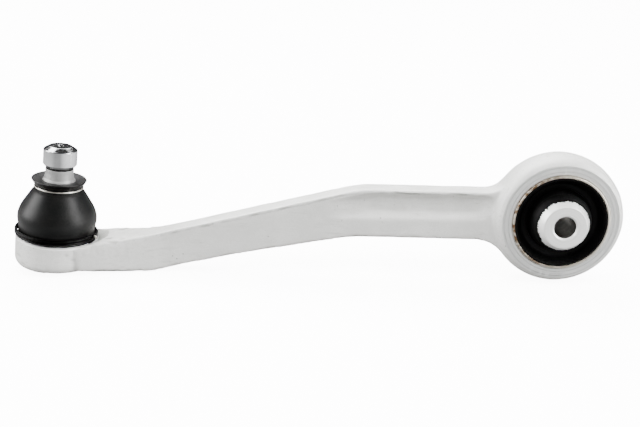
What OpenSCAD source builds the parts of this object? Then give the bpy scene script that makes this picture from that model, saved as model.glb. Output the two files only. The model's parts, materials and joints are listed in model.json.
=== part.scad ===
// Front upper control arm of a car: a forged aluminium arm with a ball joint at one end
// and a rubber-to-metal bush at the other. Millimetres, +Z up. The origin is the middle of
// the bush, +Y runs along the bush axis and the ball joint lies towards -X.

/* [Arm] */
// Distance from the bush axis to the ball joint's boot seat, along the arm
arm_length = 245.3; // [240:0.1:255]
// Drop of the boot seat below the bush axis
seat_drop = 15; // [14:0.5:16]
// Angle in plan between the arm and a line square to the bush axis
arm_yaw = 1.9; // [0:0.1:3]
// Lean of the ball joint's axis towards the bush
joint_lean = 7; // [5:0.5:8]
// Width of the bar
bar_w = 11.6; // [10:0.2:14]
// Height of the bar's top face above the bush axis, next to the eye
bar_top = 12.8; // [11:0.1:14]
// Depth of the bar's bottom face below the bush axis, next to the eye
bar_bottom = 11.6; // [9:0.1:12]
// Depth of the pocket in each flank
pocket_depth = 3.2; // [2:0.1:4]

/* [Bush] */
// Radius of the eye where the forging is fullest
eye_r = 31.5; // [30:0.1:32]
// Distance that the forging's eye sits off the bush axis, towards the bar
eye_shift = 0.2; // [0:0.1:1]
// Radius of the flat face on each side of the eye
eye_face_r = 27; // [25.5:0.1:28]
// Width of the eye between its flat faces
eye_w = 20; // [18:0.5:22]
// Outer radius of the bush, pressed into the eye
bush_r = 23; // [22:0.1:24]
// Wall of the bush's outer sleeve
outer_wall = 1; // [0.8:0.1:1.5]
// Length of the outer sleeve
outer_l = 22; // [20:0.5:24]
// Outer radius of the inner sleeve
inner_r = 12.3; // [11:0.1:13]
// Length of the inner sleeve, the width that the bracket clamps
inner_l = 36; // [34:0.5:40]
// Radius of the hole for the M10 bolt
bolt_hole_r = 5.25; // [5.1:0.05:5.5]
// Radius of the inner sleeve's end faces
inner_face_r = 10.1; // [9:0.1:11]
// Length of the cone at each end of the inner sleeve
inner_cone = 3.6; // [2:0.1:5]

/* [Ball joint] */
// Radius of the ball
ball_r = 11; // [10.5:0.1:11.3]
// Height of the ball's centre above the boot seat
ball_h = 0.5; // [0:0.1:1]
// Radius of the stud's clamped pin
pin_r = 8; // [7.5:0.1:8.5]
// Height of the pin's top above the boot seat
pin_top = 44.9; // [42:0.1:48]
// Length of the cylinder that the knuckle clamps
pin_l = 7.2; // [6:0.1:9]
// Radius of the notch below the pin that the pinch bolt crosses
notch_r = 6.65; // [6:0.05:7]
// Radius of the shoulder that the boot seals on
shoulder_r = 7.7; // [7:0.1:8]
// Height of the top of that shoulder
shoulder_h = 28; // [26:0.1:29]
// Outer radius of the housing
housing_r = 19.5; // [19:0.1:20]
// Depth of the housing below the boot seat
housing_depth = 15.2; // [14.8:0.1:15.6]
// Thickness of the closing plate
plate_t = 1.8; // [1.5:0.1:2]
// Radius of the closing plate
plate_r = 14.6; // [14:0.1:15]

/* [Boot] */
// Thickness of the boot's rubber
boot_wall = 1.5; // [1:0.1:2]
// Radius of the boot at its widest
boot_r = 19; // [18.6:0.1:19.2]
// Height of the widest ring of the boot
boot_bulge_h = 8.6; // [8:0.1:9]
// Radius of the boot's flared lip
lip_r = 13.1; // [12:0.1:13.4]
// Diameter of the wire ring at the boot's mouth
top_wire = 1.1; // [0.8:0.1:1.4]
// Diameter of the wire of the ring at the boot's foot
base_wire = 1.5; // [1:0.1:1.6]

/* [Hidden] */
$fn = 96;

running_gap = 0.05; // radial clearance of faces that slide on each other
rest_gap = 0.1; // space between the boot and the metal that it hugs
arc_steps = 6; // straight pieces in a rounded corner

// Heights along the ball joint's axis, from the boot seat
seat_h = -0.9; // shoulder of the housing that the boot's foot stands on
collar_h = 6; // top of the housing's collar
collar_r = 16.5; // collar inside the boot's foot
shell_r = 13.3; // outer radius of the bearing shells
shell_top = 4.8; // upper edge of the upper shell
shell_cone_h = 3; // where the upper shell starts to close over the ball
shell_mouth_r = 11.4; // outer radius of the upper shell at its upper edge
plate_bottom = -housing_depth + 0.6; // the staked edge reaches below the plate
plate_top = plate_bottom + plate_t;
neck_r = 5.5; // thinnest part of the stud, above the ball
garter_h = 24.6; // wire ring at the boot's mouth
garter_r = 10.8; // groove under that ring

// A unit vector
function unit(v) = v / norm(v);

// Corner b of an outline that runs a, b, c, rounded to radius r
function corner(a, b, c, r) =
    r == 0 ? [b] :
    let (u = unit(a - b), v = unit(c - b), half = acos(u * v) / 2,
         middle = b + unit(u + v) * r / sin(half),
         start = b + u * r / tan(half) - middle,
         side = sign(cross(start, b + v * r / tan(half) - middle)))
    [for (i = [0:arc_steps]) let (t = side * (180 - 2 * half) * i / arc_steps)
        middle + [start[0] * cos(t) - start[1] * sin(t), start[0] * sin(t) + start[1] * cos(t)]];

// A closed outline from corners [x, y, radius]
function rounded(list) =
    [for (i = [0:len(list) - 1])
        let (p = list[(i + len(list) - 1) % len(list)], q = list[i], s = list[(i + 1) % len(list)])
        each corner([p[0], p[1]], [q[0], q[1]], [s[0], s[1]], q[2])];

// Points of an arc about a centre, from angle a to angle b
function arc(centre, r, a, b, steps = 12) =
    [for (i = [0:steps]) let (t = a + (b - a) * i / steps) centre + r * [cos(t), sin(t)]];

// Children of the arm's own frame, with the ball joint at y = 0
module along_arm() {
    rotate([0, 0, -arm_yaw]) children();
}

// Children of the ball joint's frame: z = 0 is the boot seat
module at_ball_joint() {
    along_arm() translate([-arm_length, 0, -seat_drop]) rotate([0, joint_lean, 0]) children();
}

// Children of the bush's frame: z runs along the bush axis
module at_bush() {
    rotate([90, 0, 0]) children();
}

// A turned solid from corners [radius, height, corner radius]
module turned(list) {
    rotate_extrude() polygon(rounded(list));
}

// Side view of the bar: fillets into the eye, level run, knee, slope and foot at the housing
module bar_side() {
    top_fillet = 10;
    bottom_fillet = 16;
    top_x = -sqrt(pow(eye_r + top_fillet, 2) - pow(bar_top + top_fillet, 2));
    bottom_x = -sqrt(pow(eye_r + bottom_fillet, 2) - pow(bar_bottom + bottom_fillet, 2));
    top_turn = asin((bar_top + top_fillet) / (eye_r + top_fillet));
    bottom_turn = asin((bar_bottom + bottom_fillet) / (eye_r + bottom_fillet));
    polygon(concat(
        [[-22, 12]],
        arc([top_x, bar_top + top_fillet], top_fillet, -top_turn, -90),
        corner([-40, bar_top], [-95.5, bar_top], [-195, -12.4], 50),
        corner([-95.5, bar_top], [-195, -12.4], [-232, -17.2], 30),
        [[-232, -17.2], [-232, -30]],
        corner([-232, -30], [-210, -31.8], [-195, -31.5], 20),
        corner([-210, -31.8], [-195, -31.5], [-182, -27.9], 30),
        corner([-195, -31.5], [-182, -27.9], [-150, -20.8], 60),
        corner([-182, -27.9], [-150, -20.8], [-101, -11.6], 100),
        corner([-150, -20.8], [-101, -11.6], [-60, -11], 110),
        arc([bottom_x, -bar_bottom - bottom_fillet], bottom_fillet, 90, bottom_turn),
        [[-22, -12]]));
}

// Plan view of the bar, which widens into the ball joint's housing
module bar_plan() {
    half = bar_w / 2;
    polygon(concat(
        [[-18, -half]],
        [[-18, half]],
        corner([-18, half], [-192, half], [-234, 16], 30),
        [[-234, 16], [-234, -16]],
        corner([-234, -16], [-192, -half], [-18, -half], 30)));
}

// Mouth of a pocket, in the face of the flank
pocket_mouth = rounded([[-28, bar_top - 1.9, 4], [-92, bar_top - 1.9, 12], [-112, bar_top - 6.5, 3],
                        [-111, -2.2, 3], [-94, -1.4, 12], [-31.5, -1.4, 7]]);

// Floor of a pocket: its lower wall is steep, and it runs out gently towards the ball joint
pocket_floor = rounded([[-35, bar_top - 3.6, 3], [-84, bar_top - 3.6, 8], [-90, bar_top - 6, 2],
                        [-90, 2.4, 2], [-86, 1.9, 2], [-38, 1.9, 4]]);

// Pocket in the flank on the -Y side
module pocket() {
    skin = 0.01;
    rotate([90, 0, 0]) hull() {
        translate([0, 0, bar_w / 2]) linear_extrude(skin) polygon(pocket_mouth);
        translate([0, 0, bar_w / 2 - pocket_depth]) linear_extrude(skin) polygon(pocket_floor);
    }
}

// The bar of the forging, with a pocket in each flank
module bar() {
    difference() {
        intersection() {
            rotate([90, 0, 0]) linear_extrude(40, center = true) bar_side();
            translate([0, 0, -40]) linear_extrude(80) bar_plan();
        }
        pocket();
        mirror([0, 1, 0]) pocket();
    }
}

// Ring of the eye: flat faces, drafted flanks and a rounded crest
module eye_blank() {
    side = eye_w / 2;
    crest = eye_r - eye_face_r;
    steps = 12;
    rotate_extrude() polygon(concat(
        [[bush_r - 2, -side]],
        [for (i = [0:steps]) let (t = -90 + 180 * i / steps)
            [eye_face_r + crest * pow(cos(t), 0.8), side * sign(t) * pow(abs(sin(t)), 0.9)]],
        [[bush_r - 2, side]]));
}

// Forged arm with its machined eye and ball joint housing
module forged_arm() {
    color("gainsboro") difference() {
        union() {
            difference() {
                union() {
                    translate([-eye_shift, 0, 0]) at_bush() eye_blank();
                    along_arm() bar();
                }
                at_bush() cylinder(r = bush_r, h = eye_w + 2, center = true);
                at_ball_joint() {
                    translate([0, 0, seat_h]) cylinder(r1 = housing_r + 0.9, r2 = housing_r + 7, h = 5);
                    translate([0, 0, -housing_depth - 10]) cylinder(r = housing_r - 3, h = 30);
                }
            }
            at_ball_joint() turned([[8, -housing_depth, 0], [plate_r + 1.2, -housing_depth, 0],
                                    [housing_r, -housing_depth + 2.6, 2.5], [housing_r, seat_h, 0.8],
                                    [collar_r, seat_h, 0], [collar_r, 2.6, 0.6],
                                    [collar_r - 1.6, collar_h, 0.5], [8, collar_h, 0]]);
        }
        at_ball_joint() {
            rotate_extrude() polygon([[0, plate_top], [shell_r, plate_top], [shell_r, shell_cone_h],
                                      [shell_mouth_r, shell_top], [shell_mouth_r + 0.6, collar_h],
                                      [shell_mouth_r + 0.6, collar_h + 1], [0, collar_h + 1]]);
            translate([0, 0, plate_bottom]) cylinder(r = plate_r, h = plate_t);
            translate([0, 0, -housing_depth - 5]) cylinder(r = plate_r - 0.6, h = 8);
        }
    }
}

// Outer sleeve of the bush, with rounded ends that stand just proud of the eye
module bush_outer_sleeve() {
    color("wheat") at_bush() turned([[bush_r - outer_wall, -outer_l / 2, 0.4],
                                     [bush_r, -outer_l / 2, 0.4], [bush_r, outer_l / 2, 0.4],
                                     [bush_r - outer_wall, outer_l / 2, 0.4]]);
}

// One end of the rubber: an outer lip, a deep valley and a collar up the inner sleeve
function rubber_end(s) = [[bush_r - outer_wall, s * (outer_l / 2 - 0.8), 0],
                          [bush_r - 2.4, s * (outer_l / 2 - 0.6), 1],
                          [bush_r - 4.6, s * (outer_l / 2 - 5), 1.5],
                          [inner_r + 3.4, s * (outer_l / 2 - 5), 1.5],
                          [inner_r + 1.6, s * (inner_l / 2 - inner_cone - 2.4), 1],
                          [inner_r + running_gap, s * (inner_l / 2 - inner_cone - 0.6), 0]];

// Rubber between the two sleeves
module bush_rubber() {
    ends = rubber_end(1);
    color("black") at_bush() turned(concat(
        rubber_end(-1), [for (i = [len(ends) - 1:-1:0]) ends[i]]));
}

// Inner sleeve of the bush, clamped by the bolt through the bracket
module bush_inner_sleeve() {
    half = inner_l / 2;
    edge = 0.7;
    color("silver") at_bush() rotate_extrude() polygon(concat(
        [[bolt_hole_r, -half + edge], [bolt_hole_r + edge, -half]],
        [[inner_face_r, -half], [inner_r, -half + inner_cone]],
        [[inner_r, half - inner_cone], [inner_face_r, half]],
        [[bolt_hole_r + edge, half], [bolt_hole_r, half - edge]]));
}

// Ball stud: ball, neck, sealing shoulder, pinch-bolt notch and clamped pin
module ball_stud() {
    chamfer = 1.7;
    pin_bottom = pin_top - chamfer - pin_l;
    color("lightsteelblue") at_ball_joint() difference() {
        union() {
            translate([0, 0, ball_h]) sphere(r = ball_r);
            rotate_extrude() polygon(concat(
                [[0, 6], [neck_r, 6], [neck_r, 14], [shoulder_r, 21], [shoulder_r, shoulder_h]],
                arc([notch_r + 3, shoulder_h + 3], 3, 250, 180, 6),
                [[notch_r, pin_bottom - 1.9], [notch_r - 0.5, pin_bottom - 1.7]],
                [[notch_r - 0.5, pin_bottom - 1.2], [pin_r - 0.9, pin_bottom - 1]],
                [[pin_r, pin_bottom], [pin_r, pin_top - chamfer], [pin_r - 2.6, pin_top]],
                [[0, pin_top]]));
        }
        translate([0, 0, pin_top - 1.4]) cylinder(r1 = 0, r2 = 1.5, h = 1.5);
    }
}

// Bearing shell between two heights, bored out to the ball
module bearing_shell(outline) {
    difference() {
        rotate_extrude() polygon(outline);
        translate([0, 0, ball_h]) sphere(r = ball_r + running_gap);
    }
}

// Upper half of the plastic ball seat
module upper_bearing_shell() {
    color("ivory") at_ball_joint() bearing_shell([[6, ball_h], [shell_r, ball_h],
                                                  [shell_r, shell_cone_h],
                                                  [shell_mouth_r, shell_top], [6, shell_top]]);
}

// Lower half of the plastic ball seat
module lower_bearing_shell() {
    color("linen") at_ball_joint() bearing_shell([[0, plate_top], [shell_r, plate_top],
                                                  [shell_r, ball_h], [0, ball_h]]);
}

// Pressed plate that closes the housing and is staked in from below
module closing_plate() {
    dimple_r = 60;
    color("darkgray") at_ball_joint() difference() {
        translate([0, 0, plate_bottom]) cylinder(r = plate_r, h = plate_t);
        translate([0, 0, plate_bottom - dimple_r + 0.7]) sphere(r = dimple_r);
    }
}

// Outline of the boot, from its foot to its lip, drawn in by an amount
function boot_side(inset) =
    [[collar_r + rest_gap + (inset > 0 ? 0 : boot_wall + 0.3), 2.6 - 1.4 * sign(inset), 0],
     [boot_r - 0.75 - inset, 4.2, 2], [boot_r + 0.05 - inset, boot_bulge_h, 5],
     [boot_r - 1.6 - inset, 14.3, 6], [garter_r + 0.3 - inset, 23.6, 0.6]];

// Rubber boot that keeps grease in the ball joint
module dust_boot() {
    inside = boot_side(boot_wall);
    mouth_r = shoulder_r + rest_gap;
    color("dimgray") at_ball_joint() turned(concat(
        [[collar_r + rest_gap, seat_h + rest_gap, 0], [collar_r + 1.9, seat_h + rest_gap, 0]],
        boot_side(0),
        [[garter_r - 0.1, garter_h - 0.5, 0.3], [garter_r - 0.1, garter_h + 0.5, 0.3],
         [garter_r + 0.8, garter_h + 1.1, 0.3], [lip_r, shoulder_h - 0.2, 0.3],
         [lip_r - 0.9, shoulder_h + 0.4, 0.3], [mouth_r + 1.2, shoulder_h - 0.1, 1],
         [mouth_r, shoulder_h - 0.4, 0], [mouth_r, 22.4, 0]],
        [for (i = [len(inside) - 1:-1:0]) inside[i]]));
}

// Wire ring that holds the boot's mouth on the stud
module boot_top_ring() {
    color("gainsboro") at_ball_joint() rotate_extrude()
        translate([garter_r + top_wire / 2 + rest_gap, garter_h]) circle(d = top_wire, $fn = 24);
}

// Spring wire ring of two turns that holds the boot's foot, with the bent tail of its wire
module boot_base_ring() {
    ring_r = collar_r + 2 + rest_gap + base_wire / 2;
    pitch = base_wire - 0.1;
    tail = 4.5;
    color("darkslategray") at_ball_joint() {
        for (i = [0:1]) rotate_extrude()
            translate([ring_r, seat_h + base_wire / 2 + rest_gap + i * pitch])
                circle(d = base_wire, $fn = 24);
        rotate([0, 0, -20]) translate([ring_r, 0, seat_h + base_wire / 2 + rest_gap + pitch])
            rotate([0, 72, 0]) cylinder(d = base_wire * 0.8, h = tail, $fn = 24);
    }
}

forged_arm();
bush_outer_sleeve();
bush_rubber();
bush_inner_sleeve();
ball_stud();
upper_bearing_shell();
lower_bearing_shell();
closing_plate();
dust_boot();
boot_top_ring();
boot_base_ring();
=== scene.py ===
import json
import math

import bmesh
import bpy
from mathutils import Matrix, Vector, noise


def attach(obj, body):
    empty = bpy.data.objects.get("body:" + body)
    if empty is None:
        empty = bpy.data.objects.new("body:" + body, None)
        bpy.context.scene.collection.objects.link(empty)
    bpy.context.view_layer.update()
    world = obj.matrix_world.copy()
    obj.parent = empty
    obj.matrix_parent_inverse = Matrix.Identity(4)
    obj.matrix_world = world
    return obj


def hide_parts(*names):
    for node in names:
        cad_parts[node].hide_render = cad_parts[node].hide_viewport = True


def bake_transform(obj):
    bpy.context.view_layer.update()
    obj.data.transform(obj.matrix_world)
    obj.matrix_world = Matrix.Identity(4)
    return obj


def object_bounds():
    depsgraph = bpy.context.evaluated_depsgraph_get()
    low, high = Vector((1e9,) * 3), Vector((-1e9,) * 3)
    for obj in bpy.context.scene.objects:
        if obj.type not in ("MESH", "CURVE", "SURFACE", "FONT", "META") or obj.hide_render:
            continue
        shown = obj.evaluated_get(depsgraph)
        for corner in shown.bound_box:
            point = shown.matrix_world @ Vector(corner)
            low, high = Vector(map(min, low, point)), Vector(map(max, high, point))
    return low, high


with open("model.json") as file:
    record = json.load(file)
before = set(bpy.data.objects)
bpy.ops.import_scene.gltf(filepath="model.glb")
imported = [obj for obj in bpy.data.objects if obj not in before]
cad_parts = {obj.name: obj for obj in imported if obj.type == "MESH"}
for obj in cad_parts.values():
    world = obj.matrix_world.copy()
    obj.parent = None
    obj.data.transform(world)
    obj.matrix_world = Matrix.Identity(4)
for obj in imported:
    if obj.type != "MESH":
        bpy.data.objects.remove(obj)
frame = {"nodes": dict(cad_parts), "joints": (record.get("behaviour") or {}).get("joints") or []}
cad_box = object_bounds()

MM = 0.001
COLLECTION = bpy.context.scene.collection
NODES = frame["nodes"]

# ---------------------------------------------------------------- places, from the frame

JOINTS = {joint["name"]: joint for joint in frame["joints"]}
BALL_H = 0.5          # mm, height of the ball's centre above the boot seat
BALL_AXIS = Vector(JOINTS["stud_spin"]["axis"])
ACROSS = Vector(JOINTS["stud_swing"]["axis"])
ALONG = ACROSS.cross(BALL_AXIS)
SEAT = Vector(JOINTS["stud_spin"]["pos_m"]) - BALL_AXIS * BALL_H * MM

# The ball joint's frame has z = 0 at the boot seat, and the bush's has z along its axis. An inverse carries
# a point into the ball joint's frame, or into that of the arm, whose x runs along the bar.
TO_BALL_JOINT = Matrix.Translation(SEAT) @ Matrix((ALONG, ACROSS, BALL_AXIS)).transposed().to_4x4()
TO_BUSH = Matrix.Rotation(math.radians(90), 4, "X")
TO_JOINT_INVERSE = TO_BALL_JOINT.inverted()
TO_ARM_INVERSE = Matrix.Rotation(-math.atan2(ACROSS.x, ACROSS.y), 4, "Z").inverted()

EYE_HALF = 10         # mm, half the width of the eye
EYE_FACE_R = 27       # mm, outer edge of the eye's flat faces
BUSH_R = 23           # mm, bush in its bore
INNER_R = 12.3        # mm, inner sleeve
INNER_HALF = 18       # mm, half its length
INNER_CONE = 3.6      # mm, length of the cone at each of its ends
INNER_FACE_R = 10.1   # mm, its end faces
HOLE_R = 5.25         # mm, its bolt hole
SEAT_H = -0.9         # mm, shoulder of the housing under the boot's foot
HOUSING_R = 19.5      # mm, housing
HOUSING_BOTTOM = -15.2
PLATE_BOTTOM = -14.6  # mm, closing plate
PLATE_TOP = -12.8


# ---------------------------------------------------------------- mesh tools

def rounded(corners, closed=False, steps=5):
    """Points of an outline through corners (x, y, radius), each corner rounded by an arc."""
    points = []
    count = len(corners)
    for i, (x, y, radius) in enumerate(corners):
        here = Vector((x, y))
        if radius == 0 or (not closed and i in (0, count - 1)):
            points.append(here)
            continue
        before = (Vector(corners[i - 1][:2]) - here).normalized()
        after = (Vector(corners[(i + 1) % count][:2]) - here).normalized()
        half = before.angle(after) / 2
        middle = here + (before + after).normalized() * radius / math.sin(half)
        start = here + before * radius / math.tan(half) - middle
        side = math.copysign(1, start.cross(here + after * radius / math.tan(half) - middle))
        for k in range(steps + 1):
            turn = side * (math.pi - 2 * half) * k / steps
            points.append(middle + Matrix.Rotation(turn, 2) @ start)
    return points


def smooth_line(points, steps=6):
    """Points of a smooth curve that passes through the given (x, y) points."""
    p = [Vector(q) for q in points]
    p = [2 * p[0] - p[1]] + p + [2 * p[-1] - p[-2]]
    line = []
    for a, b, c, d in zip(p, p[1:], p[2:], p[3:]):
        for k in range(steps):
            t = k / steps
            line.append(0.5 * (2 * b + (c - a) * t + (2 * a - 5 * b + 4 * c - d) * t ** 2
                               + (3 * b - a - 3 * c + d) * t ** 3))
    return line + [p[-2]]


def lathe(outline, place, steps=128, closed=True):
    """A turned solid from an outline of (radius, height) in mm. One that isn't closed starts and ends on the
    axis."""
    bm = bmesh.new()
    verts = [bm.verts.new((x * MM, 0, y * MM)) for x, y in outline]
    edges = [bm.edges.new(pair) for pair in zip(verts, verts[1:])]
    if closed:
        edges.append(bm.edges.new((verts[-1], verts[0])))
    bmesh.ops.spin(bm, geom=verts + edges, cent=(0, 0, 0), axis=(0, 0, 1), dvec=(0, 0, 0),
                   angle=math.tau, steps=steps, use_merge=True, use_duplicate=False)
    bmesh.ops.remove_doubles(bm, verts=bm.verts[:], dist=1e-7)
    bmesh.ops.dissolve_degenerate(bm, edges=bm.edges[:], dist=1e-8)
    bmesh.ops.recalc_face_normals(bm, faces=bm.faces[:])
    bmesh.ops.transform(bm, matrix=place, verts=bm.verts[:])
    return bm


def link(made):
    """Puts a new object in the scene."""
    COLLECTION.objects.link(made)
    return made


def make_object(name, bm):
    """A mesh object at the origin from a bmesh."""
    mesh = bpy.data.meshes.new(name)
    bm.to_mesh(mesh)
    bm.free()
    return link(bpy.data.objects.new(name, mesh))


def shade(mesh, limit=32):
    """Smooth shading, with edges sharper than a limit in degrees kept crisp."""
    bm = bmesh.new()
    bm.from_mesh(mesh)
    for face in bm.faces:
        face.smooth = True
    for edge in bm.edges:
        edge.smooth = not (len(edge.link_faces) == 2 and edge.calc_face_angle(0) > math.radians(limit))
    bm.to_mesh(mesh)
    bm.free()


def finish(name, bm, body, material, stands_for=(), limit=32):
    """A finished piece: shaded, with its material, its body and the CAD nodes that it stands for."""
    piece = make_object(name, bm)
    shade(piece.data, limit)
    piece.data.materials.append(material)
    if stands_for:
        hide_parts(*stands_for)
    if body:
        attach(piece, body)
    return piece


def evaluated(worker):
    """The mesh of an object with its modifiers applied, as a bmesh. The object is removed."""
    bpy.context.view_layer.update()
    graph = bpy.context.evaluated_depsgraph_get()
    bm = bmesh.new()
    bm.from_mesh(bpy.data.meshes.new_from_object(worker.evaluated_get(graph)))
    bpy.data.objects.remove(worker)
    return bm


# ---------------------------------------------------------------- materials

def linear(code):
    """Scene-linear RGBA from an sRGB hex colour."""
    channels = [int(code[i:i + 2], 16) / 255 for i in (1, 3, 5)]
    return [c / 12.92 if c <= 0.04045 else ((c + 0.055) / 1.055) ** 2.4 for c in channels] + [1]


def add(tree, kind, inputs=None, **settings):
    """Adds a node with its settings; an input is a value or another node's output."""
    made = tree.nodes.new(kind)
    for key, value in settings.items():
        setattr(made, key, value)
    for key, value in (inputs or {}).items():
        if isinstance(value, bpy.types.NodeSocket):
            tree.links.new(value, made.inputs[key])
        else:
            made.inputs[key].default_value = value
    return made


def start_material(name, **values):
    """A material with its Principled shader's sockets set, and its object coordinates."""
    material = bpy.data.materials.new(name)
    material.use_nodes = True
    tree = material.node_tree
    shader = tree.nodes["Principled BSDF"]
    for key, value in values.items():
        shader.inputs[key.replace("_", " ")].default_value = value
    place = add(tree, "ShaderNodeTexCoord").outputs["Object"]
    return material, tree, shader, place


def grain(tree, place, size_mm, detail=2, rough=0.5):
    """Noise whose lumps are about size_mm across."""
    return add(tree, "ShaderNodeTexNoise", {"Vector": place, "Scale": 1 / (size_mm * MM), "Detail": detail,
                                            "Roughness": rough}).outputs["Fac"]


def fade(tree, value, low, high, out_low=0, out_high=1):
    """A value carried from one range to another, and held at its ends."""
    return add(tree, "ShaderNodeMapRange", {"Value": value, "From Min": low, "From Max": high,
                                            "To Min": out_low, "To Max": out_high}).outputs["Result"]


def product(tree, a, b):
    """Two values multiplied."""
    return add(tree, "ShaderNodeMath", {0: a, 1: b}, operation="MULTIPLY").outputs["Value"]


def blend_color(tree, factor, a, b):
    """A mix of two colours."""
    mixed = add(tree, "ShaderNodeMix", data_type="RGBA")
    for socket, value in ((mixed.inputs["Factor"], factor), (mixed.inputs["A"], a), (mixed.inputs["B"], b)):
        if isinstance(value, bpy.types.NodeSocket):
            tree.links.new(value, socket)
        else:
            socket.default_value = value
    return mixed.outputs["Result"]


def bump(tree, height, depth_mm, strength=1, under=None):
    """A bump of a real depth, over another bump or none."""
    inputs = {"Height": height, "Distance": depth_mm * MM, "Strength": strength}
    if under is not None:
        inputs["Normal"] = under
    return add(tree, "ShaderNodeBump", inputs).outputs["Normal"]


def forging_skin():
    """Shot-blasted aluminium forging: a pale matt grey with a fine pitted grain, cloudy where the blast was
    uneven, with faint streaks along the metal's flow, small darker nicks, rubbed edges and a grey line where
    the flash was cut off, its grey partly painted shade under the bar's upper and lower edges."""
    material, tree, shader, place = start_material("shot_blasted_aluminium", Metallic=0.3)
    clouds = grain(tree, place, 14, 4, 0.6)
    speckle = grain(tree, place, 0.7, 3, 0.7)
    pits = add(tree, "ShaderNodeTexVoronoi", {"Vector": place, "Scale": 1 / (3.2 * MM), "Randomness": 1.0})
    pit = fade(tree, pits.outputs["Distance"], 0.05, 0.16, 1, 0)
    rare = fade(tree, grain(tree, place, 9, 1), 0.55, 0.64)
    nick = product(tree, pit, rare)
    flow = add(tree, "ShaderNodeMapping", {"Vector": place, "Scale": (0.1, 1, 1)}).outputs["Vector"]
    drawn_out = fade(tree, grain(tree, flow, 1.4, 3, 0.6), 0.54, 0.72)
    streak = product(tree, drawn_out, fade(tree, clouds, 0.4, 0.6))
    # seam carries the flash lines, partly painted shade under the bar's edges, with the dents, scars and
    # greyer neck top
    seam = add(tree, "ShaderNodeAttribute", attribute_name="marks_and_painted_shade").outputs["Fac"]
    edge = add(tree, "ShaderNodeAttribute", attribute_name="rubbed").outputs["Fac"]
    tone = blend_color(tree, fade(tree, clouds, 0.35, 0.65), linear("#dbdbd8"), linear("#e8e8e5"))
    tone = blend_color(tree, fade(tree, speckle, 0.38, 0.68, 0, 0.55), tone, linear("#cfcfcb"))
    tone = blend_color(tree, product(tree, streak, 0.5), tone, linear("#b4b4b0"))
    tone = blend_color(tree, nick, tone, linear("#8b8a86"))
    tone = blend_color(tree, edge, tone, linear("#f2f2f0"))
    # 8d8c88 greys these marks, and along the flash lines it paints shade under the edges
    tone = blend_color(tree, seam, tone, linear("#8d8c88"))
    tree.links.new(tone, shader.inputs["Base Color"])
    tree.links.new(fade(tree, clouds, 0.3, 0.7, 0.50, 0.62), shader.inputs["Roughness"])
    skin = bump(tree, grain(tree, place, 3.5, 3, 0.6), 0.10, 0.6)
    skin = bump(tree, speckle, 0.03, 0.8, skin)
    tree.links.new(bump(tree, nick, -0.08, 0.8, skin), shader.inputs["Normal"])
    return material


def turned_face(name, place_in, base, low, high, pitch_mm, depth_mm, metallic=1.0, streaks=0.0):
    """Turned metal: fine rings round the axis left by the tool's feed, drawn coarse enough to show, on faces
    and cylinders alike, and bright where the cut was clean. Its colour lies between the two in base, its
    roughness between low and high, and streaks is how much the rings darken."""
    material, tree, shader, place = start_material(name, Metallic=metallic)
    turn = place_in.inverted().to_euler()
    centre = -(place_in.to_3x3().transposed() @ place_in.to_translation())
    local = add(tree, "ShaderNodeMapping", {"Vector": place, "Location": centre, "Rotation": turn})
    apart = add(tree, "ShaderNodeSeparateXYZ", {0: local.outputs["Vector"]})
    flat = add(tree, "ShaderNodeCombineXYZ", {0: apart.outputs["X"], 1: apart.outputs["Y"]}).outputs["Vector"]
    radius = add(tree, "ShaderNodeVectorMath", {0: flat}, operation="LENGTH").outputs["Value"]
    travel = add(tree, "ShaderNodeMath", {0: radius, 1: apart.outputs["Z"]}, operation="SUBTRACT")
    travel = travel.outputs["Value"]
    phase = product(tree, travel, math.tau / (pitch_mm * MM))
    wave = add(tree, "ShaderNodeMath", {0: phase}, operation="SINE").outputs["Value"]
    blot = grain(tree, place, 5, 3)
    tone = blend_color(tree, fade(tree, blot, 0.3, 0.7), linear(base[0]), linear(base[1]))
    rings = add(tree, "ShaderNodeTexNoise", {"W": product(tree, travel, 1 / (pitch_mm * MM)), "Scale": 1.0,
                                             "Detail": 2.0}, noise_dimensions="1D").outputs["Fac"]
    ringed = product(tree, fade(tree, rings, 0.5, 0.7, 0, streaks), fade(tree, blot, 0.35, 0.6, 0.3, 1))
    tone = blend_color(tree, ringed, tone, linear("#8f8f8d"))
    tree.links.new(tone, shader.inputs["Base Color"])
    tree.links.new(fade(tree, blot, 0.3, 0.7, low, high), shader.inputs["Roughness"])
    tree.links.new(bump(tree, wave, depth_mm, 0.7), shader.inputs["Normal"])
    return material


def moulded_rubber(name, base, dusty, roughness, gloss):
    """Moulded rubber: satin black with the faint grain of the mould and a bloom of paler dust."""
    material, tree, shader, place = start_material(name, Specular_IOR_Level=gloss)
    cloud = grain(tree, place, 7, 3, 0.6)
    tone = blend_color(tree, fade(tree, cloud, 0.4, 0.75), linear(base), linear(dusty))
    tree.links.new(tone, shader.inputs["Base Color"])
    tree.links.new(fade(tree, cloud, 0.3, 0.7, roughness, roughness + 0.08), shader.inputs["Roughness"])
    tree.links.new(bump(tree, grain(tree, place, 0.45, 2), 0.012, 0.5), shader.inputs["Normal"])
    return material


def plain_metal(name, base, other, roughness):
    """Small bright or coated metal pieces: even, with slight drawing or plating marks."""
    material, tree, shader, place = start_material(name, Metallic=1.0)
    cloud = grain(tree, place, 3.2, 3)
    tone = blend_color(tree, fade(tree, cloud, 0.35, 0.65), linear(base), linear(other))
    tree.links.new(tone, shader.inputs["Base Color"])
    tree.links.new(fade(tree, cloud, 0.3, 0.7, roughness, roughness + 0.1), shader.inputs["Roughness"])
    tree.links.new(bump(tree, grain(tree, place, 0.8, 2), 0.004, 0.6), shader.inputs["Normal"])
    return material


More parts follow.
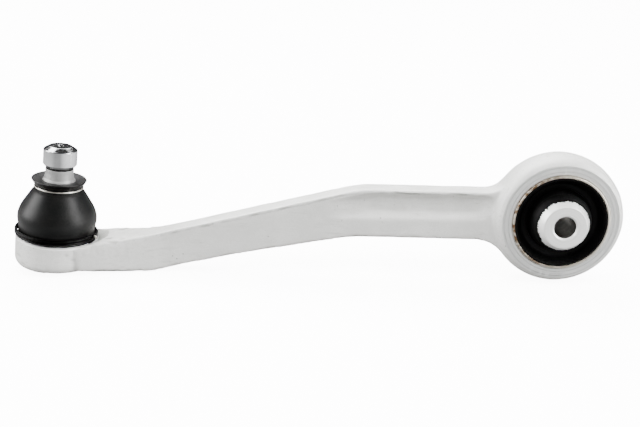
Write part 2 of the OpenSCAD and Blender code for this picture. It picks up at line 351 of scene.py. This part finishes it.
def bonded_rim():
    """Rolled rim of the outer sleeve: pale steel, smeared brown with bonding agent towards the ball joint."""
    name = "sleeve_rim_with_bonding_agent"
    material, tree, shader, place = start_material(name, Metallic=0.8, Roughness=0.4)
    apart = add(tree, "ShaderNodeSeparateXYZ", {0: place})
    towards_joint = fade(tree, apart.outputs["X"], 8 * MM, -14 * MM)
    smear = product(tree, towards_joint, fade(tree, grain(tree, place, 2, 3), 0.3, 0.6))
    tone = blend_color(tree, smear, linear("#d9d3c6"), linear("#6b5238"))
    tree.links.new(tone, shader.inputs["Base Color"])
    tree.links.new(bump(tree, grain(tree, place, 0.8), 0.01, 0.5), shader.inputs["Normal"])
    return material


FORGING = forging_skin()
EYE_TURNED = turned_face("turned_aluminium_face", TO_BUSH, ("#cdcecc", "#dcdddb"),
                         0.4, 0.55, 1.1, 0.03, metallic=0.55, streaks=0.5)
SEAT_TURNED = turned_face("turned_boot_seat", TO_BALL_JOINT, ("#eeeeec", "#f8f8f6"),
                          0.35, 0.5, 0.8, 0.01, metallic=0.4, streaks=0.2)
# Painted shade: the wall beside the boot seat is a darker grey for the shade there; its tool rings are real.
CUTTER_WALL_WITH_PAINTED_SHADE = turned_face("cutter_scarred_wall_painted_shade", TO_BALL_JOINT, ("#a3a39f", "#b9b9b5"),
                          0.5, 0.6, 1.2, 0.04, metallic=0.4, streaks=0.6)
SLEEVE_TURNED = turned_face("turned_aluminium_sleeve", TO_BUSH, ("#f4f4f2", "#fbfbf9"),
                            0.34, 0.46, 0.9, 0.012, metallic=0.45, streaks=0.25)
STUD_STEEL = turned_face("ground_steel", TO_BALL_JOINT, ("#bfc0c1", "#cbcccd"), 0.12, 0.18, 0.8, 0.0006)
STUD_WAIST = turned_face("turned_steel", TO_BALL_JOINT, ("#929291", "#a0a09f"),
                         0.48, 0.58, 0.9, 0.004, metallic=0.6)
# Painted shade: near-black grey in the notch under the stud's head.
GROOVE_PAINTED_SHADE = plain_metal("groove_painted_shade", "#2e2e2d", "#40403f", 0.4)
# Painted shade: the bolt hole's bore is coloured a darker grey than the sleeve for the shade inside it.
BORE_PAINTED_SHADE = plain_metal("bore_painted_shade", "#8c8b88", "#a09f9c", 0.34)
SLEEVE_RIM = bonded_rim()
BOOT_RUBBER = moulded_rubber("boot_chloroprene", "#060606", "#0b0a09", 0.36, 0.22)
BUSH_RUBBER = moulded_rubber("bush_natural_rubber", "#030303", "#060505", 0.5, 0.12)
BRIGHT_WIRE = plain_metal("bright_spring_wire", "#c9c6bd", "#e2dfd6", 0.28)
BLACK_WIRE = plain_metal("black_phosphated_wire", "#0c0c0c", "#161616", 0.3)
ZINC_PLATE = plain_metal("zinc_plated_steel", "#a9aaa6", "#bcbdb8", 0.35)


def acetal():
    """Natural acetal: milky white moulded plastic with a faint sheen."""
    material, tree, shader, place = start_material("natural_acetal", Subsurface_Weight=0.1)
    cloud = grain(tree, place, 4, 2)
    tone = blend_color(tree, cloud, linear("#e6e2d6"), linear("#efece2"))
    tree.links.new(tone, shader.inputs["Base Color"])
    tree.links.new(fade(tree, cloud, 0.3, 0.7, 0.35, 0.45), shader.inputs["Roughness"])
    return material


ACETAL = acetal()


# ---------------------------------------------------------------- forged arm

VOXEL = 0.65 * MM     # of the forging's skin
HAMMER_ROOM = 0.17    # mm, kept under the housing for the hammered skin
STOCK = 1.2           # mm, stock on each face of the eye
NECK_REACH = 46       # mm, how far from the ball joint the neck's edges are softened
NECK_ROOT = 15        # mm, where that starts below the seat
KNEE_X = -108         # mm, where the bend in the bar starts to be softened, towards the eye


def housing_core():
    """Solid metal that fills the housing and stands above its seat."""
    bottom = HOUSING_BOTTOM + HAMMER_ROOM
    return lathe(rounded([(0, bottom, 0), (HOUSING_R - 1.5, bottom, 1), (HOUSING_R, -12.6, 2),
                          (HOUSING_R, 0.4, 0), (17.6, 0.4, 0), (17.6, 7.2, 0), (0, 7.2, 0)]),
                 TO_BALL_JOINT, 96, closed=False)


def forging_blank():
    """The arm as it leaves the dies: hollows still full, and stock on the faces that are cut later."""
    bm = bmesh.new()
    bm.from_mesh(NODES["forged_arm"].data)
    bmesh.ops.remove_doubles(bm, verts=bm.verts[:], dist=1e-6)
    bmesh.ops.create_cone(bm, cap_ends=True, segments=96, radius1=EYE_FACE_R * MM, radius2=EYE_FACE_R * MM,
                          depth=2 * (EYE_HALF + STOCK) * MM, matrix=TO_BUSH)
    core = make_object("core", housing_core())
    bm.from_mesh(core.data)
    bpy.data.objects.remove(core)
    blank = make_object("blank", bm)
    remesh = blank.modifiers.new("skin", "REMESH")
    remesh.mode = "VOXEL"
    remesh.voxel_size = VOXEL
    return evaluated(blank)


def soften(bm, verts, times):
    """Rounds the edges among some vertices."""
    for _ in range(times):
        bmesh.ops.smooth_vert(bm, verts=verts, factor=0.5, use_axis_x=True, use_axis_y=True, use_axis_z=True)


def hammered(point):
    """How far the forged surface stands off its true shape at a point, in metres."""
    slow = noise.fractal(point / (11 * MM), 0.8, 2.0, 2)
    fine = noise.noise(point / (2.6 * MM))
    local = TO_JOINT_INVERSE @ point / MM
    by_seat = local.x > 14 and local.z > -3.5 and 21 < math.hypot(local.x, local.y) < 40
    return (0.10 * slow + (0.25 if by_seat else 0.035) * fine) * MM


BAR_END, BAR_START = -224, -36    # mm, how far the flash line runs along the bar; its grey is partly painted shade
BAR_FACE = 4.2        # mm, from the arm's middle plane to where the flanks' edges are
FLASH_TOP = 1.5       # mm, how far below the top edge the flash line is
FLASH_BOTTOM = 0.9    # mm, how far above the bottom edge the other one is
FLASH_HALF = 0.7      # mm, half its width
FLASH_DEPTH = 0.25    # mm
UPPER_END = -192      # mm along the arm, where the upper line runs out beside the boot
HOUSING_NEAR = -200   # mm along the arm, where the lower line starts to grow towards the housing, darker there as painted shadow


def bar_edges(bm):
    """Heights of the bar's top and bottom for each millimetre along it, in mm."""
    tops, bottoms = {}, {}
    for vert in bm.verts:
        local = TO_ARM_INVERSE @ vert.co / MM
        x = round(local.x)
        if BAR_END < x < BAR_START:
            tops[x] = max(tops.get(x, local.z), local.z)
            bottoms[x] = min(bottoms.get(x, local.z), local.z)
    return tops, bottoms


def trim_flash_and_paint_shade(bm, marks_and_painted_shade):
    """The shallow ragged line along the bar's upper and lower edges where the flash was cut off, its grey
    partly painted shade.
    """
    tops, bottoms = bar_edges(bm)
    for vert in bm.verts:
        local = TO_ARM_INVERSE @ vert.co / MM
        x = round(local.x)
        on_housing = (vert.co - SEAT).to_2d().length < (HOUSING_R + 1.5) * MM
        if x not in tops or abs(local.y) < BAR_FACE or on_housing:
            continue
        wander = 0.4 * noise.noise(Vector((local.x / 9, local.y, 1)))
        from_top = abs(tops[x] - local.z - FLASH_TOP - wander)
        from_bottom = abs(local.z - bottoms[x] - FLASH_BOTTOM - wander)
        by_housing = min(1, max(0, (HOUSING_NEAR - x) / 12))
        upper = 1 - from_top / FLASH_HALF if x >= UPPER_END else 0
        lower = 0.8 + 0.6 * by_housing - from_bottom / FLASH_HALF
        patchy = min(1, max(0, 0.55 + 0.4 * by_housing + 1.2 * noise.noise(vert.co / (6 * MM))))
        mark = max(0, upper, lower) * patchy
        vert.co -= vert.normal * mark * FLASH_DEPTH * MM
        # the mark also greys the line in the skin's material, partly as painted shade under the edge
        vert[marks_and_painted_shade] = mark


# dents on the housing: degrees round the ball joint, mm of height, and half of each of their sizes
SCRAPES = ((-136, -9, 10, 0.9), (-124, -12, 7, 0.8), (-59, -4.5, 5, 1.4), (-50, -7, 4, 1), (70, -8, 9, 0.9),
           (160, -11, 8, 0.8))


def scrape(bm, marks_and_painted_shade):
    """Shallow dents where the housing was knocked."""
    for vert in bm.verts:
        local = TO_JOINT_INVERSE @ vert.co / MM
        if math.hypot(local.x, local.y) < HOUSING_R - 1 or local.x > 22 or local.z > SEAT_H - 1:
            continue
        angle = math.degrees(math.atan2(local.y, local.x))
        for place, height, half_angle, half_height in SCRAPES:
            apart = math.hypot((angle - place) / half_angle, (local.z - height) / half_height)
            mark = max(0, 1 - apart) * (0.7 + 0.5 * noise.noise(vert.co / (1.5 * MM)))
            vert.co -= vert.normal * mark * 0.35 * MM
            vert[marks_and_painted_shade] = max(vert[marks_and_painted_shade], 0.6 * mark)


# cutter scars on the neck's top: mm along and across the arm from the ball joint, and half their sizes
GOUGES = ((30, -10, 4.5, 1.3), (34, -7.5, 2.6, 1.2), (39, -10, 3.5, 1.1), (27, -5, 3, 1.5), (31, 7, 4, 1.4))
NECK_GREY_START, NECK_GREY_END = 21, 75    # mm from the ball joint, where the neck's top is made greyer, most towards the housing


def gouge(bm, marks_and_painted_shade):
    """Cutter scars, and the neck's top made greyer towards the housing."""
    for vert in bm.verts:
        local = TO_JOINT_INVERSE @ vert.co / MM
        if vert.normal.z < 0.35 or not NECK_GREY_START < local.x < NECK_GREY_END:
            continue
        vert[marks_and_painted_shade] = max(vert[marks_and_painted_shade], 0.3 * min(1, (NECK_GREY_END - local.x) / 30))
        for x, y, half_x, half_y in GOUGES:
            mark = max(0, 1 - math.hypot((local.x - x) / half_x, (local.y - y) / half_y))
            vert.co -= vert.normal * mark * 0.45 * MM
            vert[marks_and_painted_shade] = max(vert[marks_and_painted_shade], 0.9 * min(1, 1.6 * mark))


def rub_edges(bm, rubbed):
    """Marks outward edges, where handling has polished the blasted skin."""
    bm.normal_update()
    for vert in bm.verts:
        rise = sum((edge.other_vert(vert).co - vert.co).dot(vert.normal) for edge in vert.link_edges)
        reach = sum(edge.calc_length() for edge in vert.link_edges)
        vert[rubbed] = min(1, max(0, (-rise / reach - 0.05) * 5)) * 0.6


def machining_tools():
    """What the machining takes away: eye bore and faces, boot seat, ball cavity and plate recess."""
    bore = lathe([(0, -EYE_HALF - 3), (BUSH_R + 0.7, -EYE_HALF - 3), (BUSH_R + 0.7, -EYE_HALF),
                  (BUSH_R, -EYE_HALF + 0.7), (BUSH_R, EYE_HALF - 0.7), (BUSH_R + 0.7, EYE_HALF),
                  (BUSH_R + 0.7, EYE_HALF + 3), (0, EYE_HALF + 3)], TO_BUSH, 160, closed=False)
    faces = [lathe([(0, s * EYE_HALF), (36, s * EYE_HALF), (36, s * (EYE_HALF + 4)), (0, s * (EYE_HALF + 4))],
                   TO_BUSH, 96, closed=False) for s in (-1, 1)]
    seat = lathe([(0, 6), (14.9, 6), (16.5, 2.6), (16.5, SEAT_H), (HOUSING_R - 0.9, SEAT_H),
                  (HOUSING_R + 0.1, SEAT_H - 0.9), (HOUSING_R + 0.9, SEAT_H - 0.5), (26.5, 4.1),
                  (26.5, 14), (0, 14)], TO_BALL_JOINT, 128, closed=False)
    cavity = lathe([(0, HOUSING_BOTTOM - 3), (14, HOUSING_BOTTOM - 3), (14, PLATE_BOTTOM),
                    (14.6, PLATE_BOTTOM), (14.6, PLATE_TOP), (13.3, PLATE_TOP), (13.3, 3), (11.4, 4.8),
                    (12, 6), (12, 8), (0, 8)], TO_BALL_JOINT, 96, closed=False)
    return [bore, *faces, seat, cavity]


def cut(bm, tools):
    """Takes the tools' shapes out of a solid."""
    worker = make_object("worker", bm)
    cutters = [make_object("cutter", tool) for tool in tools]
    for cutter in cutters:
        step = worker.modifiers.new("cut", "BOOLEAN")
        step.operation = "DIFFERENCE"
        step.solver = "MANIFOLD"
        step.object = cutter
    done = evaluated(worker)
    for cutter in cutters:
        bpy.data.objects.remove(cutter)
    return done


def round_off(bm):
    """Rounds the forging's edges, most of all round the neck, and gives it its hammered skin."""
    soften(bm, bm.verts[:], 3)
    neck, knee = [], []
    for vert in bm.verts:
        local = TO_JOINT_INVERSE @ vert.co / MM
        inner = HOUSING_R + 0.5 if local.z >= SEAT_H - 2.5 else NECK_ROOT
        if local.x > 0 and inner < math.hypot(local.x, local.y) < NECK_REACH:
            neck.append(vert)
        if (TO_ARM_INVERSE @ vert.co).x > KNEE_X * MM:
            knee.append(vert)
    soften(bm, neck, 25)
    soften(bm, knee, 7)
    bm.normal_update()
    for vert in bm.verts:
        vert.co += vert.normal * hammered(vert.co)


def wear_and_painted_shade(bm):
    """Trimming, handling and cutter marks, and painted shade along the flash lines, in two vertex attributes
    for the skin's material.
    """
    marks_and_painted_shade = bm.verts.layers.float.new("marks_and_painted_shade")
    rubbed = bm.verts.layers.float.new("rubbed")
    bm.normal_update()
    trim_flash_and_paint_shade(bm, marks_and_painted_shade)
    scrape(bm, marks_and_painted_shade)
    gouge(bm, marks_and_painted_shade)
    rub_edges(bm, rubbed)


AS_FORGED, EYE_FACE, BOOT_SEAT, SCARRED_WALL_AND_SHADE = range(4)    # the arm's materials, in their order on the piece
SCAR_SLOPE = 1.235    # radius gained for each unit of height by the scarred foot of the wall beside the seat


def arm_finish(face):
    """Which of the arm's materials a face has."""
    local = TO_JOINT_INVERSE @ face.center / MM
    radius = math.hypot(local.x, local.y)
    off_wall = abs(radius - HOUSING_R - 0.9 - (local.z - SEAT_H + 0.5) * SCAR_SLOPE)
    # the wall facing the boot takes the darker grey that paints its shade
    if local.x > 0 and off_wall < 0.4 and 20 < radius < 26.6 and face.normal.dot(ALONG) < -0.3:
        return SCARRED_WALL_AND_SHADE
    on_seat = 15 < radius < HOUSING_R + 1 and SEAT_H - 0.95 < local.z < SEAT_H + 0.1
    if on_seat and face.normal.dot(BALL_AXIS) > 0.5:
        return BOOT_SEAT
    flat = abs(face.normal.y) > 0.995 and abs(abs(face.center.y) / MM - EYE_HALF) < 0.05
    if flat and math.hypot(face.center.x, face.center.z) < (EYE_FACE_R + 2) * MM:
        return EYE_FACE
    return AS_FORGED


def forged_arm():
    """The forging: blank, rounded edges and hammered skin, machining, and then marks with painted shade."""
    bm = forging_blank()
    round_off(bm)
    bm = cut(bm, machining_tools())
    wear_and_painted_shade(bm)
    piece = finish("arm_forging", bm, "arm", FORGING, ["forged_arm"], 35)
    for material in (EYE_TURNED, SEAT_TURNED, CUTTER_WALL_WITH_PAINTED_SHADE):
        piece.data.materials.append(material)
    for face in piece.data.polygons:
        face.material_index = arm_finish(face)


# ---------------------------------------------------------------- bush

def sleeve_radius(height):
    """Radius of the inner sleeve at a height along its axis, in mm."""
    into_cone = max(0, abs(height) - (INNER_HALF - INNER_CONE))
    return INNER_R - into_cone * (INNER_R - INNER_FACE_R) / INNER_CONE


def outer_sleeve():
    """Thin outer sleeve with rolled lips, just proud of the eye."""
    profile = rounded([(22, -11, 0.45), (BUSH_R, -11, 0.45), (BUSH_R, 11, 0.45), (22, 11, 0.45)], closed=True)
    finish("bush_outer_sleeve_turned", lathe(profile, TO_BUSH, 192), "arm",
           SLEEVE_RIM, ["bush_outer_sleeve"])


SPLIT_R = 15.6        # mm, where the rubber is parted so that its inner part turns with the inner sleeve
SPLIT_GAP = 0.12      # mm
COLLAR_TIP = 14.4     # mm, height of the collar's thin edge before its flash is drawn out
FLASH_WAVES = ((0.7, 5), (0.8, 23), (0.9, 52))    # size in mm and fineness of each ripple of that flash


def rubber_ring():
    """Outer part of the bush's rubber: a lip inside the sleeve and the floor of the valley."""
    front = [(22, 10.2, 0), (21.3, 10.8, 0.5), (20.3, 9.4, 0.8), (18.4, 6.0, 1.6),
             (SPLIT_R + SPLIT_GAP / 2, 5.4, 0)]
    back = [(r, -h, c) for r, h, c in reversed(front)]
    finish("bush_rubber_ring", lathe(rounded(front + back), TO_BUSH, 160), "arm",
           BUSH_RUBBER, ["bush_rubber"])


def rubber_collar():
    """Inner part of the rubber, bonded to the inner sleeve, with a ragged edge of flash at each end."""
    front = [(SPLIT_R - SPLIT_GAP / 2, 5.4, 0), (14.9, 6.4, 0.8), (14.3, 10.6, 1.2), (13.2, 12.9, 0.7),
             (12.6, 13.6, 0), (12.48, 14.25, 0), (12.44, COLLAR_TIP, 0), (INNER_R + 0.03, 14.3, 0)]
    back = [(r, -h, c) for r, h, c in reversed(front)]
    bm = lathe(rounded(front + back), Matrix(), 480)
    for vert in bm.verts:
        radius, height = math.hypot(vert.co.x, vert.co.y) / MM, vert.co.z / MM
        if abs(height) > COLLAR_TIP - 0.02:
            angle = math.atan2(vert.co.y, vert.co.x)
            around = Vector((math.cos(angle), math.sin(angle), 1 if height > 0 else 5))
            ragged = sum(size * noise.noise(around * fineness) for size, fineness in FLASH_WAVES)
            climb = max(0, 0.4 + ragged)
            height += math.copysign(climb, height)
            scale = (sleeve_radius(height) + 0.14 - 0.05 * min(1, climb)) / radius
            vert.co = Vector((vert.co.x * scale, vert.co.y * scale, height * MM))
    bmesh.ops.transform(bm, matrix=TO_BUSH, verts=bm.verts[:])
    finish("bush_rubber_collar", bm, "bush_sleeve", BUSH_RUBBER)


def inner_sleeve():
    """Thick turned sleeve with coned ends and a chamfered bolt hole."""
    end = [(HOLE_R, INNER_HALF - 0.7, 0), (HOLE_R + 0.7, INNER_HALF, 0.12), (INNER_FACE_R, INNER_HALF, 0.35),
           (INNER_R, INNER_HALF - INNER_CONE, 0.4)]
    profile = end + [(r, -h, c) for r, h, c in reversed(end)]
    piece = finish("bush_inner_sleeve_turned", lathe(rounded(profile, closed=True), TO_BUSH, 128),
                   "bush_sleeve", SLEEVE_TURNED, ["bush_inner_sleeve"], 25)
    # the bolt hole's faces take the darker grey that paints the shade in the hole
    piece.data.materials.append(BORE_PAINTED_SHADE)
    for face in piece.data.polygons:
        if math.hypot(face.center.x, face.center.z) < (HOLE_R + 0.15) * MM:
            face.material_index = 1


# ---------------------------------------------------------------- ball joint

def ball_stud():
    """Ball stud: ball, waist, sealing shoulder, pinch-bolt notch and chamfered pin with its centre mark."""
    ball_r, waist_r, steps = 11, 5.5, 24
    top = math.degrees(math.acos(waist_r / ball_r))
    angles = [math.radians(-90 + (top + 90) * k / steps) for k in range(steps + 1)]
    ball = [(ball_r * math.cos(angle), BALL_H + ball_r * math.sin(angle)) for angle in angles]
    shank = rounded([(waist_r, ball[-1][1], 0), (waist_r, 14, 2), (7.7, 21, 1), (7.7, 27.9, 0.25),
                     (7.0, 28.9, 1.2), (6.65, 31.5, 1.5), (6.65, 33.7, 0.1), (5.9, 34.0, 0.1),
                     (5.9, 34.8, 0.1), (7.1, 34.95, 0.1), (8, 36, 0.35), (8, 43.2, 0.4), (5.4, 44.9, 0.35),
                     (1.7, 44.9, 0.1), (1.1, 44.2, 0), (1.1, 42.4, 0), (0, 41.8, 0)])
    bm = lathe(ball[:-1] + [tuple(p) for p in shank], TO_BALL_JOINT, 128, closed=False)
    piece = finish("ball_stud_ground", bm, "stud", STUD_STEEL, ["ball_stud"], 28)
    piece.data.materials.append(STUD_WAIST)
    piece.data.materials.append(GROOVE_PAINTED_SHADE)
    groove_low, groove_high, neck_low = 33.8, 35, 14
    for face in piece.data.polygons:
        height = (TO_JOINT_INVERSE @ face.center).z / MM
        if neck_low < height < groove_high:
            # faces in the notch under the head take the near-black grey that paints its shade
            face.material_index = 2 if height > groove_low else 1


SEAM_H = 15           # mm, where the boot's two halves meet


def boot_halves():
    """The boot in two halves, which meet at the seam's height."""
    outside = smooth_line([(18.1, 2.6), (18.3, 4.4), (18.75, 6.4), (18.98, 8.6), (18.75, 10.8), (18.1, 12.9),
                           (17.1, SEAM_H), (15.75, 17.2), (14.0, 20), (12.4, 22.4), (11.25, 23.5),
                           (10.75, 24.1)], 8)
    seam = min(range(len(outside)), key=lambda i: abs(outside[i].y - SEAM_H))
    wall = Vector((1.5, 0))
    low_out, high_out = outside[:seam + 1], outside[seam:]
    low_in = [p - wall for p in reversed(low_out)]
    high_in = [p - wall for p in reversed(high_out[:-8])]
    foot = rounded([(17.0, 2.4, 0), (16.6, 2.2, 0.2), (16.6, -0.8, 0.2), (18.35, -0.8, 0.2), (18.35, 2.0, 0)])
    lower = finish("boot_lower", lathe(foot + low_out + low_in, TO_BALL_JOINT, 128), None,
                   BOOT_RUBBER, ["dust_boot"], 50)
    lip = rounded([(10.7, 24.2, 0.2), (10.7, 25.0, 0.4), (11.6, 25.7, 0.6), (12.7, 27.5, 0.6),
                   (13.1, 28.1, 0.15), (12.9, 28.4, 0.15), (9.6, 28.1, 0.8), (7.8, 27.8, 0.2),
                   (7.8, 22.4, 0.3), (8.6, 21.8, 0)])
    upper = finish("boot_upper", lathe(high_out + lip[1:] + high_in, TO_BALL_JOINT, 128), None,
                   BOOT_RUBBER, ["dust_boot"], 50)
    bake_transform(lower)
    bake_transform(upper)


def wire(name, points, diameter, body, material, stands_for):
    """A round wire along a line of points in the ball joint's frame, in mm."""
    curve = bpy.data.curves.new(name, "CURVE")
    curve.dimensions = "3D"
    curve.bevel_depth = diameter / 2 * MM
    curve.bevel_resolution = 4
    curve.use_fill_caps = True
    spline = curve.splines.new("POLY")
    spline.points.add(len(points) - 1)
    for point, place in zip(spline.points, points):
        point.co = (*(TO_BALL_JOINT @ (Vector(place) * MM)), 1)
    bm = evaluated(link(bpy.data.objects.new(name, curve)))
    bmesh.ops.remove_doubles(bm, verts=bm.verts[:], dist=1e-7)
    bmesh.ops.recalc_face_normals(bm, faces=bm.faces[:])
    return finish(name, bm, body, material, stands_for, 50)


def polar(radius, degrees, height):
    """A point given by its radius, its angle and its height."""
    return (radius * math.cos(math.radians(degrees)), radius * math.sin(math.radians(degrees)), height)


def boot_rings():
    """Bright wire ring at the mouth, and a two-turn black spring ring at the foot whose bent tail has a
    painted highlight.
    """
    mouth = rounded([(10.85, 24.15, 0.45), (11.75, 24.15, 0.45), (11.75, 25.05, 0.45), (10.85, 25.05, 0.45)],
                    closed=True, steps=6)
    finish("boot_mouth_ring", lathe(mouth, TO_BALL_JOINT, 128), "boot_mouth", BRIGHT_WIRE,
           ["boot_top_ring"], 60)
    radius, pitch, foot = 19.32, 1.35, -0.1
    start, turns = -20, 2.0
    coil = [polar(radius, start - 360 * turns + 5 * k, foot + pitch * k / 72)
            for k in range(round(72 * turns) + 1)]
    end = coil[-1][2]
    tail = [polar(radius + 0.5, start + 4, end + 0.15), polar(radius + 1.4, start + 5, end + 0.4),
            polar(radius + 3.2, start + 3, end + 0.2)]
    ring = wire("boot_foot_ring", coil + tail, 1.45, "arm", BLACK_WIRE, ["boot_base_ring"])
    # Painted highlight: the tail's outer part takes the bright wire's colour on the black ring.
    ring.data.materials.append(BRIGHT_WIRE)
    for face in ring.data.polygons:
        local = TO_JOINT_INVERSE @ face.center / MM
        if math.hypot(local.x, local.y) > radius + 1.3:
            face.material_index = 1


def closing_plate():
    """Pressed plate with a shallow cup, held by the staked edge of the housing."""
    profile = rounded([(0, PLATE_BOTTOM + 0.7, 0), (8, PLATE_BOTTOM + 0.7, 1.5), (10.5, PLATE_BOTTOM, 1.5),
                       (14.5, PLATE_BOTTOM, 0.3), (14.5, PLATE_TOP, 0), (0, PLATE_TOP, 0)])
    finish("closing_plate_pressed", lathe(profile, TO_BALL_JOINT, 96, closed=False), "arm",
           ZINC_PLATE, ["closing_plate"])


forged_arm()
outer_sleeve()
rubber_ring()
rubber_collar()
inner_sleeve()
ball_stud()
boot_halves()
boot_rings()
closing_plate()
for shell in ("upper_bearing_shell", "lower_bearing_shell"):
    NODES[shell].data.materials.clear()
    NODES[shell].data.materials.append(ACETAL)


# ---------------------------------------------------------------- camera, floor and light

CAMERA_PLACE = Vector((-117.5, -413.4, 137.6)) * MM
CAMERA_TURN = (0.42, 18.458, 0.93)    # degrees of yaw, downward pitch and roll


def add_camera():
    """A camera a little above the arm, looking square at its flank."""
    yaw, pitch, roll = (math.radians(angle) for angle in CAMERA_TURN)
    forward = Vector((math.sin(yaw) * math.cos(pitch), math.cos(yaw) * math.cos(pitch), -math.sin(pitch)))
    right = Vector((math.cos(yaw), -math.sin(yaw), 0))
    up = right.cross(forward)
    right, up = (math.cos(roll) * right + math.sin(roll) * up,
                 math.cos(roll) * up - math.sin(roll) * right)
    camera = link(bpy.data.objects.new("camera", bpy.data.cameras.new("camera")))
    turn = Matrix((right, up, -forward)).transposed().to_4x4()
    camera.matrix_world = Matrix.Translation(CAMERA_PLACE) @ turn
    camera.data.sensor_width = 36
    camera.data.lens = 50.6
    camera.data.clip_start = 0.01
    bpy.context.scene.camera = camera


ARM_MIDDLE = Vector((-0.12, 0, 0))
LAMP_DISTANCE = 3     # metres


def add_softbox(name, way, size, glow, mirrored=True):
    """A soft box of a size in metres, in a direction from the arm's middle, with a given radiance. One that
    isn't mirrored lights surfaces evenly, and leaves no highlight on them."""
    light = bpy.data.lights.new(name, "AREA")
    light.shape = "RECTANGLE"
    light.size, light.size_y = size
    light.energy = glow * math.pi * size[0] * size[1]
    lamp = link(bpy.data.objects.new(name, light))
    lamp.location = ARM_MIDDLE + Vector(way).normalized() * LAMP_DISTANCE
    lamp.rotation_euler = Vector(way).to_track_quat("Z", "Y").to_euler()
    lamp.visible_glossy = mirrored


# the room's light at the level of the horizon, straight below and overhead: heights, and factors there
WORLD_BANDS = ((-0.25, 0.15, 0.75, 0.25), (-0.85, -0.6, 0.15, 1.0), (0.6, 0.9, 1.0, 0.15))


def add_world():
    """A dim room: palest low down and to the right, dark overhead, behind and straight below."""
    world = bpy.data.worlds.new("studio")
    world.use_nodes = True
    tree = world.node_tree
    away = add(tree, "ShaderNodeSeparateXYZ", {0: add(tree, "ShaderNodeTexCoord").outputs["Generated"]})
    height = away.outputs["Z"]
    behind = product(tree, fade(tree, away.outputs["Y"], 0.2, 0.8), fade(tree, height, -0.1, 0.1))
    sides = product(tree, fade(tree, away.outputs["X"], 0.2, 0.8, 1.0, 3.0),
                    fade(tree, away.outputs["X"], -0.95, -0.4, 2.2, 1.0))
    total = product(tree, sides, fade(tree, behind, 0, 1, 1, 0.2))
    for low, high, out_low, out_high in WORLD_BANDS:
        total = product(tree, total, fade(tree, height, low, high, out_low, out_high))
    tree.nodes["Background"].inputs["Color"].default_value = linear("#ffffff")
    tree.links.new(total, tree.nodes["Background"].inputs["Strength"])
    bpy.context.scene.world = world


def add_floor():
    """A pale seamless floor at the arm's lowest point. The metal doesn't mirror it, and it casts no light."""
    bm = bmesh.new()
    bmesh.ops.create_circle(bm, cap_ends=True, segments=64, radius=8)
    floor = make_object("floor", bm)
    floor.location.z = cad_box[0][2]
    material, tree, shader, place = start_material("seamless_paper", Roughness=0.9, Emission_Strength=10.0)
    shader.inputs["Base Color"].default_value = linear("#f7f7f6")
    shader.inputs["Emission Color"].default_value = linear("#ffffff")
    floor.data.materials.append(material)
    floor.visible_glossy = False
    floor.visible_diffuse = False


add_camera()
add_floor()
add_world()
add_softbox("right_box", (0.88, -0.20, 0.34), (1.1, 3.4), 15)
add_softbox("left_box", (-0.88, -0.12, 0.40), (1.9, 1.9), 12.5)
add_softbox("left_top_box", (-0.36, 0.30, 0.86), (1.2, 1.2), 13)
add_softbox("back_box", (-0.10, 0.62, 0.77), (2.8, 1.4), 13)
add_softbox("back_right_box", (0.62, 0.42, 0.66), (1.0, 1.2), 3)
add_softbox("top_box", (0.10, -0.45, 0.88), (2.4, 2.0), 11, mirrored=False)
add_softbox("front_box", (0.05, -0.85, -0.50), (3.0, 1.8), 5, mirrored=False)
